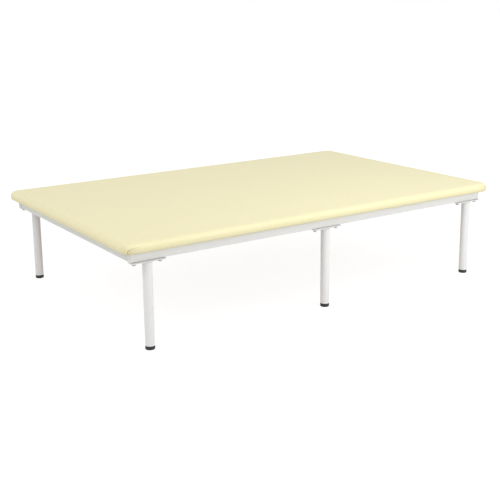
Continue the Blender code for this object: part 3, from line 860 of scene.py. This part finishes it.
def bead(path, first, second, size, pitch=0.0045, closed=False):
    """Quarter round in a corner: point = path + s (first cos a + second sin a), a from 0 to 90
    degrees, with s = size (1 + 0.10 sin(2 pi d / pitch)) and d the distance along the path."""
    step = np.linalg.norm(np.diff(path, axis=0), axis=1)
    distance = np.concatenate([[0.0], np.cumsum(step)])
    total = distance[-1] + (np.linalg.norm(path[0] - path[-1]) if closed else 0.0)
    waves = max(1, round(total / pitch))
    swell = size * (1 + 0.10 * np.sin(2 * np.pi * distance * waves / total))
    if not closed:
        along = 2 * distance / total - 1
        swell = swell * np.sqrt(np.clip(1 - along**12, 0, 1))
    angle = np.radians(np.linspace(0, 90, 7))[:, None]
    first, second = [np.broadcast_to(axis, path.shape)[:, None] for axis in (first, second)]
    arc = first * np.cos(angle) + second * np.sin(angle)
    rows = np.concatenate([path[:, None] + swell[:, None, None] * arc, path[:, None]], axis=1)
    return surface(rows, wrap_rows=closed, wrap_columns=True)


def ring_weld():
    """The bead round a leg's top: its path is a circle, out along the plate and down the tube."""
    out = around(1.0, 0.0, full_turn(216))
    path = out * (LEG_RADIUS - 0.0002) + np.array([0, 0, TUBE_TOP + 0.0001])
    return bead(path, (0.0, 0.0, -1.0), out, LEG_WELD, closed=True)


for place in PLACES:
    leg_piece(place, "_weld", ring_weld(), PAINT)

# %% [markdown]
# ## Plates and rails
#
# A slab with a rounded outline and eased edges is a stack of outlines: shrunk to its centre,
# then growing out over the rounded edge, up the side, and back in. The rails are the same
# outline carried along their length.

# %% Outline, slab and tube
HAIR = 0.0004


def outline(width, height, radius, steps=7, support=0.0006):
    """Rounded rectangle, anticlockwise: arcs of the radius about four centres, with one more
    point close beyond each end of every arc, so that the flat sides stay flat."""
    x, y = width / 2 - radius, height / 2 - radius
    corners = np.array([(x, -y), (x, y), (-x, y), (-x, -y)])
    starts = np.array([-90.0, 0.0, 90.0, 180.0])
    angle = np.radians(starts[:, None] + np.linspace(0, 90, steps))
    arcs = corners[:, None] + radius * np.stack([np.cos(angle), np.sin(angle)], axis=-1)
    into = np.stack([np.cos(np.radians(starts)), np.sin(np.radians(starts))], axis=-1)
    before = arcs[:, 0] - np.stack([-into[:, 1], into[:, 0]], axis=-1) * support
    after = arcs[:, -1] - into * support
    return np.concatenate([before[:, None], arcs, after[:, None]], axis=1).reshape(-1, 2)


def stacked(width, height, radius, stations):
    """One outline for each (lift, inset): drawn in by the inset and lifted along Z."""
    rings = []
    for lift, inset in stations:
        ring = outline(width - 2 * inset, height - 2 * inset, max(radius - inset, HAIR))
        rings.append(np.column_stack([ring, np.full(len(ring), lift)]))
    return np.stack(rings)


def slab(width, height, radius, thickness, edge):
    """Stack of outlines: inset by edge (1 - sin a) and lifted by edge (1 - cos a) at each rim."""
    angle = np.radians(np.linspace(0, 90, 5))
    inset = np.concatenate([[edge + HAIR], edge * (1 - np.sin(angle)), [0.0]])
    lift = np.concatenate([[0.0], edge * (1 - np.cos(angle)), [edge + HAIR]])
    insets = np.concatenate([inset, inset[::-1]])
    lifts = np.concatenate([lift, thickness - lift[::-1]])
    rings = stacked(width, height, radius, zip(lifts, insets))
    return surface(on_axis(rings), wrap_columns=True)


def tube(width, height, radius, wall, length, edge=0.0003):
    """A tube along Z from 0 to its length: the outer outline out, the bore's outline back."""
    near, far = edge + 0.0005, length - edge - 0.0005
    stations = [
        (edge, 0.0), (near, 0.0), (far, 0.0), (length - edge, 0.0), (length, edge),
        (length, wall - edge), (length - edge, wall), (far, wall), (near, wall), (edge, wall),
        (0.0, wall - edge), (0.0, edge),
    ]
    return surface(stacked(width, height, radius, stations), wrap_rows=True, wrap_columns=True)


def turned_to(shape, axes):
    """Gives a shape's x, y and z to other axes, as a right-handed order of 0, 1 and 2."""
    points = np.empty_like(shape[0])
    points[:, axes] = shape[0]
    return points, shape[1]


# %% [markdown]
# The frame: two long rails with capped ends, two end rails and three cross rails between them.
# The long rails run the whole length because their end caps show at the corners in the photo.

# %% Rails
RAIL_WIDE, RAIL_TALL, RAIL_CORNER, RAIL_WALL = 0.020, 0.040, 0.003, 0.0016
LONG_RAILS = ("front_rail", "rear_rail")
SHORT_RAILS = ("left_end_rail", "right_end_rail")
SHORT_RAILS += ("left_cross_rail", "middle_cross_rail", "right_cross_rail")


def rail(node, width, height, axes):
    """A tube whose width, height and length run along the given axes, in the node's place."""
    along = axes[2]
    start = middle(node)
    start[along] = low(node)[along]
    shape = tube(width, height, RAIL_CORNER, RAIL_WALL, span(node)[along])
    return moved(turned_to(shape, axes), start)


for node in LONG_RAILS:
    make_piece(node + "_tube", rail(node, RAIL_WIDE, RAIL_TALL, [1, 2, 0]), PAINT, [node])
for node in SHORT_RAILS:
    # The short rails take the greyer paint, which is painted shade.
    make_piece(node + "_tube", rail(node, RAIL_TALL, RAIL_WIDE, [2, 0, 1]), PAINTED_SHADE_PAINT, [node])

# %% [markdown]
# End caps, leg plates and the welds of the frame. A cap's face is slightly domed by its rounded
# edge, and its plug hides in the tube. Each short rail is welded to the long rails on both of
# its flat sides.

# %% Caps, plates and frame welds
CAP_FACE, CAP_EDGE = 0.002, 0.0007
CAP_PLUG_LESS, CAP_PLUG_CORNER, CAP_PLUG_EDGE = 0.0038, 0.0014, 0.0004
PLATE_CORNER, PLATE_EDGE = 0.006, 0.0006
PLATE_SIZE = span("front_left_leg_plate")


def cap_shape(node, side):
    """Face slab and a smaller plug slab behind it, turned so that the face looks along X."""
    near, far = low(node)[0], high(node)[0]
    face = slab(RAIL_WIDE, RAIL_TALL, RAIL_CORNER, CAP_FACE, CAP_EDGE)
    wide, tall = RAIL_WIDE - CAP_PLUG_LESS, RAIL_TALL - CAP_PLUG_LESS
    plug = slab(wide, tall, CAP_PLUG_CORNER, far - near - CAP_FACE, CAP_PLUG_EDGE)
    face_at, plug_at = (far - CAP_FACE, near) if side > 0 else (near, near + CAP_FACE)
    both = together([moved(face, (0, 0, face_at)), moved(plug, (0, 0, plug_at))])
    return moved(turned_to(both, [1, 2, 0]), middle(node) * (0, 1, 1))


for place in CORNERS:
    node = place + "_rail_cap"
    side = -1 if place.endswith("left") else 1
    make_piece(node + "_face", cap_shape(node, side), CAP_PLASTIC, [node])

for place in PLACES:
    plate = slab(*PLATE_SIZE[:2], PLATE_CORNER, PLATE_SIZE[2], PLATE_EDGE)
    plate = moved(plate, (0, 0, low(place + "_leg_plate")[2]))
    # The plates take the greyer paint, which is painted shade.
    leg_piece(place, "_leg_plate_steel", plate, PAINTED_SHADE_PAINT, ["_leg_plate"])


def rail_welds():
    """Upright beads in the corners between rails, four to each short rail."""
    beads = []
    for node in SHORT_RAILS:
        corner, far = low(node), high(node)
        z = np.linspace(corner[2] + 0.003, far[2] - 0.003, 60)
        for side, y in ((-1.0, corner[1]), (1.0, far[1])):
            for along, x in ((-1.0, corner[0]), (1.0, far[0])):
                path = np.stack(np.broadcast_arrays(x, y + side * 0.0003, z), axis=-1)
                out, back = (along, 0, 0), (0, -side, 0)
                axes = (back, out) if along * side < 0 else (out, back)
                beads.append(bead(path, *axes, RAIL_WELD))
    return together(beads)


make_piece("frame_welds", rail_welds(), PAINT)

# %% [markdown]
# ## Bolts and screws
#
# A bolt's head is a hexagon with its lower corners chamfered by a cone, which leaves the curved
# arrises that every bolt head shows. On a polar grid that is one line: the radius is the lesser
# of the hexagon's and the cone's.

# %% Bolts with washers
BOLT_LOW, BOLT_TOP = low("front_left_bolt_left")[2], high("front_left_bolt_left")[2]
HEAD_FLATS, HEAD_TALL, SHANK_RADIUS, SHANK_POINT = 0.013, 0.0053, 0.004, 0.0032
HEAD_TOP = BOLT_LOW + HEAD_TALL
WASHER_BORE, WASHER_RADIUS, WASHER_THICK = 0.0042, 0.008, 0.0016
WASHER_TOP = low("front_left_leg_plate")[2] - 0.0003
SPRING_RADIUS, SPRING_THICK = 0.0066, 0.0020
BOLT_OFFSET = 0.055


def hexagon_head(flats, bottom, top):
    """Radius at angle t: the lesser of (flats / 2) / cos(t mod 60 - 30) and the chamfer cone's."""
    angle = full_turn(72)
    hexagon = flats / 2 / np.cos(angle % (np.pi / 3) - np.pi / 6)
    corner, flat = flats / math.sqrt(3), 0.96 * flats / 2
    rises = np.array([0.2, 0.4, 0.6, 0.8, 1.0, 1.2]) * 1e-3
    profile = [(0.0, bottom), (0.6 * flats / 2, bottom), (flat, bottom)]
    profile += [(flat + rise * 1.6, bottom + rise) for rise in rises]
    profile += [(corner, bottom + rises[-1]), (corner, top), (0.0, top)]
    cone, height = np.array(profile).T[..., None]
    return surface(around(np.minimum(cone, hexagon), height, angle), wrap_columns=True)


def spring_washer(inner, outer, bottom, thickness):
    """A square section wound nearly once round, rising by a quarter of its thickness."""
    turn = np.linspace(math.radians(6), math.radians(354), 60)[:, None]
    wire = thickness * 0.75
    radius, lift = np.array([(inner, 0.0), (outer, 0.0), (outer, wire), (inner, wire)]).T
    rise = bottom + thickness * 0.25 * (turn / (2 * np.pi))
    return surface(capped(around(radius, rise + lift, turn)), wrap_columns=True, flip=True)


def washer(inner, outer, bottom, top):
    """A flat ring with eased edges."""
    ease = 0.0002
    profile = [(inner, bottom), (outer - ease, bottom), (outer, bottom + ease)]
    profile += [(outer, top - ease), (outer - ease, top), (inner, top), (inner, bottom)]
    return turned(profile, 40)


def pin(radius, bottom, top, shoulder, point=0.0):
    """A shank from its head up to a shoulder and on to a narrower point."""
    profile = [(0.0, bottom), (radius, bottom), (radius, shoulder), (point, top), (0.0, top)]
    return turned(profile, 24)


def bolt():
    """Head, spring washer, flat washer and shank of one bolt, on the Z axis."""
    head = hexagon_head(HEAD_FLATS, BOLT_LOW, HEAD_TOP)
    spring = spring_washer(WASHER_BORE, SPRING_RADIUS, HEAD_TOP + 0.0002, SPRING_THICK)
    flat = washer(WASHER_BORE, WASHER_RADIUS, WASHER_TOP - WASHER_THICK, WASHER_TOP)
    shank = pin(SHANK_RADIUS, HEAD_TOP, BOLT_TOP, BOLT_TOP - 0.001, SHANK_POINT)
    return together([head, spring, flat, shank])


for place in PLACES:
    pair = together([moved(bolt(), (side * BOLT_OFFSET, 0, 0)) for side in (-1, 1)])
    leg_piece(place, "_bolts", pair, ZINC, ["_bolt_left", "_bolt_right"], sharp=28)

# %% [markdown]
# The four screws that hold the board are seen from below: a domed pan head with a cross recess.
# The recess is a smooth step of the distance to two crossing slots.

# %% Board screws
SCREW_HEAD_TALL, SCREW_HEAD_RADIUS, SCREW_RADIUS = 0.0034, 0.006, 0.003
CROSS_HALF, CROSS_DEPTH, CROSS_REACH = 0.0009, 0.0014, 0.62


def pan_head(bottom, top, radius):
    """Dome of depth (1 - 0.55 (r / R)^4), less a cross recess 1.4 mm deep whose slots are where
    |x| or |y| is under 0.9 mm."""
    share = np.concatenate([np.linspace(0, 0.95, 26), [1.0]])[:, None]
    angle = full_turn(64)
    r = share * radius
    dome = (top - bottom) * (1 - 0.55 * share**4)
    slot = np.minimum(np.abs(r * np.cos(angle)), np.abs(r * np.sin(angle)))
    inside = np.clip((CROSS_HALF - slot) / 0.0004, 0, 1)
    inside = inside * np.clip((radius * CROSS_REACH - r) / 0.0005, 0, 1)
    head = around(r, top - dome + inside * CROSS_DEPTH, angle)
    side = head[-1:].copy()
    side[..., 2] = top
    return surface(np.concatenate([head, side, side * (0, 0, 1)]), wrap_columns=True)


for place in CORNERS:
    node = "board_screw_" + place
    bottom, top = low(node)[2], high(node)[2]
    head_top = bottom + SCREW_HEAD_TALL
    head = pan_head(bottom, head_top, SCREW_HEAD_RADIUS)
    screw = together([head, pin(SCREW_RADIUS, head_top, top, top - 0.0015)])
    screw = moved(screw, middle(node) * (1, 1, 0))
    make_piece(node + "_head", screw, ZINC, [node], sharp=40)

# %% [markdown]
# ## Feet
#
# Each foot is a black plastic glide, as wide as the leg, on a threaded stem. Its lower edge is
# rounded so that it slides without catching, and its upper edge is eased. The thread is a real
# helix: the radius falls away from its crest by a triangle wave of height / pitch less turn.

# %% Feet and stems
FOOT_TOP = high("front_left_foot_pad")[2]
STEM_LOW, STEM_TOP = low("front_left_foot_stem")[2], high("front_left_foot_stem")[2]
GROOVE_LOW, GROOVE_TOP, GROOVE_DEPTH = 0.0104, 0.0118, 0.0004
SOCKET_RADIUS, SOCKET_DEEP = 0.0054, 0.008


def foot_profile():
    """Sole, rounded lower edge, side with a shallow groove, eased top edge, stem's socket."""
    sole, edge, full, cut = 0.003, 0.0006, LEG_RADIUS, LEG_RADIUS - GROOVE_DEPTH
    profile = [(0.0, 0.0), (full - sole - 0.0006, 0.0)]
    profile += rounded(full - sole, sole, sole, 270, 360, 8)
    profile += [(full, sole + 0.0008), (full, GROOVE_LOW), (cut, GROOVE_LOW + GROOVE_DEPTH)]
    profile += [(cut, GROOVE_TOP - GROOVE_DEPTH), (full, GROOVE_TOP), (full, FOOT_TOP - 0.0014)]
    profile += rounded(full - edge, FOOT_TOP - edge, edge, 0, 90, 5)
    profile += [(full - 0.0014, FOOT_TOP), (SOCKET_RADIUS + 0.0004, FOOT_TOP)]
    profile += [(SOCKET_RADIUS, FOOT_TOP - 0.0004), (SOCKET_RADIUS, FOOT_TOP - SOCKET_DEEP)]
    return profile + [(0.0, FOOT_TOP - SOCKET_DEEP)]


def threaded_stem():
    """r = 5 mm less 0.5 mm times the triangle wave |2 frac(z / pitch - t / 2 pi) - 1|, which runs
    out over the last millimetre at both ends."""
    pitch, crest, depth = 0.0015, 0.005, 0.0005
    rows = int((STEM_TOP - STEM_LOW) / pitch * 6)
    height = np.linspace(STEM_LOW, STEM_TOP, rows)[:, None]
    turn = np.linspace(0, 1, 30, endpoint=False)
    phase = height / pitch - turn
    wave = np.abs(2 * (phase - np.floor(phase)) - 1)
    runout = np.clip(np.minimum(height - STEM_LOW, STEM_TOP - height) / 0.001, 0, 1)
    stem = around(crest - depth * (1 - (1 - wave) * runout), height, 2 * np.pi * turn)
    return surface(on_axis(stem), wrap_columns=True)


for place in PLACES:
    foot = place + "_foot"
    glide = turned(foot_profile(), 64)
    leg_piece(place, "_foot_glide", glide, BLACK_PLASTIC, ["_foot_pad"], body=foot)
    leg_piece(place, "_foot_thread", threaded_stem(), ZINC, ["_foot_stem"], body=foot)

# %% [markdown]
# ## Staples
#
# The vinyl's margin is held under the board by staples every 45 mm. One staple is a short bar
# with its two legs going up into the board: a square section carried round a flat U. The same
# few faces are repeated at every place by adding arrays, with the bar lying along the edge.

# %% Staples under the board
STAPLE_INSET, STAPLE_SPACING, STAPLE_END = 0.021, 0.045, 0.050
STAPLE_PROUD = 0.0006


def staple():
    """Square wire bent to a U: its crown 10 mm wide, 1 mm across and 1 mm thick, legs 5 mm up."""
    outer = [(-5.0, 5.0), (-5.0, 0.4), (-4.6, 0.0), (4.6, 0.0), (5.0, 0.4), (5.0, 5.0)]
    inner = [(-4.0, 5.0), (-4.0, 1.2), (-3.8, 1.0), (3.8, 1.0), (4.0, 1.2), (4.0, 5.0)]
    rows = []
    for line, across in ((outer, -0.5), (outer, 0.5), (inner, 0.5), (inner, -0.5)):
        x, z = np.array(line).T
        rows.append(np.stack([x, np.full(len(x), across), z], axis=-1) * 1e-3)
    return surface(capped(np.stack(rows, axis=1)), wrap_columns=True)


def staple_places():
    """Places and directions along the margin's middle line, evenly spaced on each side."""
    places = []
    for quarter in range(4):
        turn = quarter * 0.5 * np.pi
        along, across = (LENGTH, WIDTH) if quarter % 2 == 0 else (WIDTH, LENGTH)
        reach = along / 2 - STAPLE_END
        x = np.linspace(-reach, reach, round(2 * reach / STAPLE_SPACING) + 1)
        y = STAPLE_INSET - across / 2
        c, s = np.cos(turn), np.sin(turn)
        places.append(np.stack([x * c - y * s, x * s + y * c, np.full(len(x), turn)], axis=-1))
    return np.concatenate(places)


def staples():
    """Every staple at once: the template turned about Z and added to each place."""
    template, faces = staple()
    spots = staple_places()
    x0, y0, turn = spots.T[..., None]
    x, y, z = template.T
    c, s = np.cos(turn), np.sin(turn)
    z = z + COVER_BOTTOM - STAPLE_PROUD
    points = np.stack(np.broadcast_arrays(x * c - y * s + x0, x * s + y * c + y0, z), axis=-1)
    numbers = faces[None] + (np.arange(len(spots)) * len(template))[:, None, None]
    print(len(spots), "staples")
    return points.reshape(-1, 3), numbers.reshape(-1, 4)


make_piece("cover_staples", staples(), ZINC)

# %% [markdown]
# ## The board
#
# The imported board's own shape is right, so it stays and only takes the plywood finish.

# %% Finish the board
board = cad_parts["plywood_board"]
for material_slot in board.material_slots:
    material_slot.material = PLYWOOD
print("board finished")

# %% [markdown]
# ## Stage, light and camera
#
# A catalogue picture: white background, soft light from the right and in front. The floor is a
# plain pale surface. Its picture for the camera is lifted to white, but it keeps a faint soft
# shadow under the table, and for the light it stays an ordinary pale floor that bounces.

# %% Floor and backdrop
WHITE = (1.0, 1.0, 1.0, 1.0)
FLOOR_TONE, SHADOW_TONE, FLOOR_LIFT = 0.80, 0.24, 0.875
FLOOR_HALF = 40.0
SKY_STRENGTH = 0.78


def cleared(owner):
    """The node tree of a material or world, emptied."""
    owner.use_nodes = True
    owner.node_tree.nodes.clear()
    return owner.node_tree


def two_looks(tree, kind, lit, seen):
    """Ends a tree: one node's shader for the light, and another's for camera, glossy and
    transmission rays."""
    path = add_node(tree, "LightPath").outputs
    direct = arithmetic("MAXIMUM", path["Is Camera Ray"], path["Is Glossy Ray"])
    direct = arithmetic("MAXIMUM", direct, path["Is Transmission Ray"])
    choose = add_node(tree, "MixShader", {0: direct, 1: lit.outputs[0], 2: seen.outputs[0]})
    add_node(tree, kind, dict(Surface=choose.outputs[0]))


def floor_finish():
    """For the light a plain pale floor; for the eye, white light less a share of the shadow."""
    material = bpy.data.materials.new("pale_floor")
    tree = cleared(material)
    tones = [(tone, tone, tone, 1.0) for tone in (FLOOR_TONE, SHADOW_TONE)]
    plain, shadow = [add_node(tree, "BsdfDiffuse", dict(Color=tone)) for tone in tones]
    white = add_node(tree, "Emission", dict(Strength=FLOOR_LIFT))
    seen = add_node(tree, "AddShader", {0: shadow.outputs[0], 1: white.outputs[0]})
    two_looks(tree, "OutputMaterial", plain, seen)
    return material


def make_world(strength):
    """An even pale sky: the given strength for the light, white where it is seen."""
    world = bpy.data.worlds.new("studio")
    tree = cleared(world)
    ambient = add_node(tree, "Background", dict(Color=WHITE, Strength=strength))
    two_looks(tree, "OutputWorld", ambient, add_node(tree, "Background", dict(Color=WHITE)))
    bpy.context.scene.world = world


floor_corners = np.array([(-1, -1, 0), (1, -1, 0), (1, 1, 0), (-1, 1, 0)]) * FLOOR_HALF
floor = add_object("floor", new_mesh("floor", (floor_corners, [(0, 1, 2, 3)])))
floor.data.materials.append(floor_finish())
make_world(SKY_STRENGTH)
print("floor and world made")

# %% [markdown]
# Five soft panels light the table. Two wide ones stand low, in front and to the right: they reach
# in under the pad's overhang, so the rail below it stays as light as in the photo, and the
# right-hand one gives each round leg its light and dark side. A small one hangs above the front
# edge and brightens the roll there. One high up on the left keeps the left end light, and one
# behind on the left puts a faint sheen along the end's roll. None of them shows in the picture.

# %% Lamps
AIM = mathutils.Vector((0.1, -0.05, 0.35))


def add_panel(name, place, size, power):
    """A square area lamp at a place, turned to face the table and unseen by the camera."""
    lamp = bpy.data.lights.new(name, "AREA")
    lamp.shape = "SQUARE"
    lamp.size = size
    lamp.energy = power
    holder = add_object(name, lamp)
    holder.location = place
    holder.rotation_euler = (AIM - mathutils.Vector(place)).to_track_quat("-Z", "Y").to_euler()
    holder.visible_camera = False
    print(name, "at", place, power, "W")


add_panel("panel_front", (1.2, -3.4, 1.2), 2.0, 18.6)
add_panel("panel_right", (2.4, -3.6, 1.3), 2.0, 4.3)
add_panel("panel_near", (0.5, -1.5, 1.95), 0.8, 8.8)
add_panel("panel_left", (-2.9, -1.0, 2.5), 0.8, 12.2)
add_panel("panel_back_left", (-2.2, 3.6, 1.9), 0.9, 5.0)

# %% [markdown]
# The camera was fitted to the photo: corners of the frame, feet, leg widths, bolts and the pad's
# outline. It stands at 56 degrees to the long side and looks 13 degrees down, through a long
# lens, with a small downward shift.

# %% Camera
CAMERA_AT = (-2.3391, -3.4608, 1.2948)
CAMERA_ANGLES = (56.007, 13.185, -0.571)


def camera_axes(yaw, pitch, roll):
    """Right, up and backward directions of a camera with those angles in degrees."""
    yaw, pitch, roll = np.radians([yaw, pitch, roll])
    forward = np.array([np.cos(pitch) * np.cos(yaw), np.cos(pitch) * np.sin(yaw), -np.sin(pitch)])
    right = np.array([np.sin(yaw), -np.cos(yaw), 0.0])
    up = np.cross(right, forward)
    turned_right = np.cos(roll) * right + np.sin(roll) * up
    return turned_right, -np.sin(roll) * right + np.cos(roll) * up, -forward


camera_data = bpy.data.cameras.new("camera")
camera_data.lens = 65.915
camera_data.sensor_width = 36.0
camera_data.shift_y = -0.08
camera_data.dof.use_dof = False
camera = add_object("camera", camera_data)
turn = mathutils.Matrix([list(axis) for axis in camera_axes(*CAMERA_ANGLES)]).transposed()
camera.matrix_world = mathutils.Matrix.Translation(CAMERA_AT) @ turn.to_4x4()
bpy.context.scene.camera = camera
bpy.context.scene.view_settings.view_transform = "Standard"
print("camera at", tuple(round(v, 3) for v in camera.location))

# %% [markdown]
# ## Finish
#
# The view layer is brought up to date, and the table is done.

# %% Finish
bpy.context.view_layer.update()
